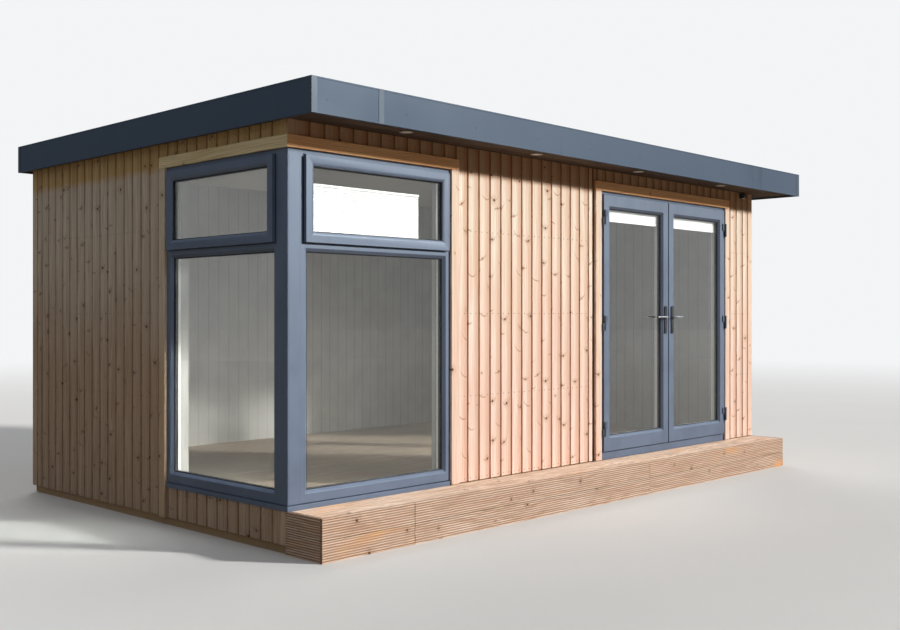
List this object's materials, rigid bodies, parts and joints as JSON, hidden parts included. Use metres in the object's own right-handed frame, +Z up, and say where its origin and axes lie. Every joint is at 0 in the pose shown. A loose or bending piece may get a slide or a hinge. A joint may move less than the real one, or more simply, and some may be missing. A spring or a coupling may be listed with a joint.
{
  "type": "garden office pod",
  "caption": "Flat-roofed timber-clad garden office with a glazed corner, outward-opening glazed double doors and a low deck step along the front.",
  "frame": {"origin": "centre of the wall footprint, at ground level under the base", "axes": "+X along the front to the right, +Y to the back, +Z up; the front with the doors faces -Y"},
  "size_m": [5.559, 3.479, 2.576],
  "materials": {
    "framing_timber": "sawn softwood",
    "floor_boards": "pale laminate",
    "white_lining": "matt white",
    "larch_cladding": "planed larch, unpainted",
    "larch_trim": "planed larch, unpainted",
    "soffit_boards": "dark stained boards",
    "deck_timber": "weathered grooved decking",
    "anthracite_metal": "satin anthracite coating",
    "anthracite_frame": "satin anthracite profile",
    "window_glass": "clear sealed unit",
    "blind_fabric": "pleated white cloth",
    "hinge_metal": "satin black coating",
    "handle_steel": "satin",
    "lamp_bezel": "satin",
    "black_plastic": "fine texture",
    "roof_membrane": "matt sheet"
  },
  "bodies": {
    "building": {"floor_frame": "framing_timber", "floor": "floor_boards", "front_wall_middle": "framing_timber", "front_wall_right": "framing_timber", "front_window_lintel": "framing_timber", "door_lintel": "framing_timber", "left_wall": "framing_timber", "side_window_lintel": "framing_timber", "back_wall": "framing_timber", "right_wall": "framing_timber", "wall_lining": "white_lining", "ceiling": "white_lining", "cladding_front": "larch_cladding", "cladding_sides": "larch_cladding", "cladding_back": "larch_cladding", "corner_boards": "larch_trim", "opening_trim": "larch_trim", "roof_panel": "framing_timber", "roof_membrane": "roof_membrane", "fascia_front": "anthracite_metal", "fascia_sides": "anthracite_metal", "fascia_back": "anthracite_metal", "fascia_strips": "anthracite_metal", "soffit": "soffit_boards", "downlights": "lamp_bezel", "motion_sensor": "black_plastic", "corner_post": "anthracite_frame", "window_sill": "anthracite_frame", "window_frames": "anthracite_frame", "casements": "anthracite_frame", "window_glass": "window_glass", "window_blind": "blind_fabric", "door_frame": "anthracite_frame", "frame_hinges": "hinge_metal", "deck_boards": "deck_timber", "deck_riser": "deck_timber", "deck_frame": "framing_timber"},
    "left_door": {"left_leaf": "anthracite_frame", "left_leaf_glass": "window_glass", "left_leaf_blind": "blind_fabric", "left_leaf_fittings": "hinge_metal"},
    "left_handle": {"left_lever": "handle_steel"},
    "right_door": {"right_leaf": "anthracite_frame", "right_leaf_glass": "window_glass", "right_leaf_blind": "blind_fabric", "right_leaf_fittings": "hinge_metal"},
    "right_handle": {"right_lever": "handle_steel"}
  },
  "joints": [
    {"name": "left_door_hinge", "type": "hinge", "parent": "building", "child": "left_door", "pos_m": [0.3175, -1.582, 1.303], "axis": [0, 0, -1], "range_deg": [0, 95]},
    {"name": "left_lever_turn", "type": "hinge", "parent": "left_door", "child": "left_handle", "pos_m": [1.1465, -1.57, 1.303], "axis": [0, -1, 0], "range_deg": [0, 35], "stiffness_Nm_per_rad": 3, "springref_deg": -17.19},
    {"name": "right_door_hinge", "type": "hinge", "parent": "building", "child": "right_door", "pos_m": [2.0725, -1.582, 1.303], "axis": [0, 0, 1], "range_deg": [0, 95]},
    {"name": "right_lever_turn", "type": "hinge", "parent": "right_door", "child": "right_handle", "pos_m": [1.2435, -1.57, 1.303], "axis": [0, 1, 0], "range_deg": [0, 35], "stiffness_Nm_per_rad": 3, "springref_deg": -17.19}
  ]
}
